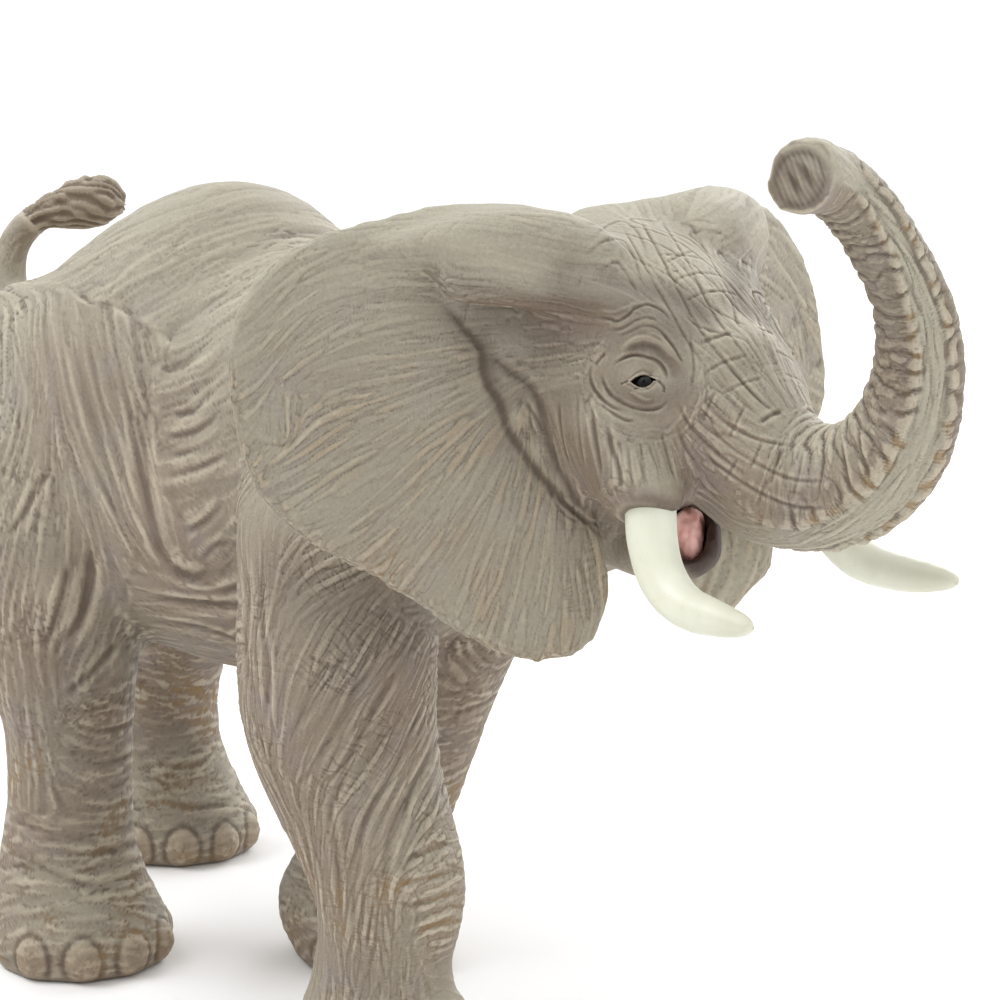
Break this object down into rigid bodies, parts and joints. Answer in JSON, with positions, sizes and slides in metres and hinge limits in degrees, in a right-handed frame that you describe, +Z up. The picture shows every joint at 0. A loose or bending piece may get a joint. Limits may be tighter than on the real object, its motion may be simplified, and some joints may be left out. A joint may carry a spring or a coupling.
{
  "type": "toy elephant figure",
  "caption": "Moulded plastic African elephant figure in a walking stance, with spread ears, tusks and a raised, curled trunk; it stands on its soles.",
  "frame": {"origin": "on the floor plane under the middle of the figure's bounding box", "axes": "+X towards the head, +Y to the animal's left, +Z up"},
  "size_m": [0.1798, 0.0948, 0.1166],
  "materials": {
    "skin": "matte painted, dry-brushed relief",
    "ivory": "satin painted",
    "tongue_pink": "satin painted",
    "eye_black": "gloss painted"
  },
  "bodies": {
    "root": {"torso_left_half": "skin", "torso_right_half": "skin", "front_right_leg": "skin", "front_left_leg": "skin", "rear_right_leg": "skin", "rear_left_leg": "skin", "head": "skin", "ear_left": "skin", "ear_right": "skin", "tusk_left": "ivory", "tusk_right": "ivory", "eye_left": "eye_black", "eye_right": "eye_black", "trunk": "skin", "lower_jaw": "skin", "tongue": "tongue_pink", "tail": "skin"}
  },
  "joints": []
}
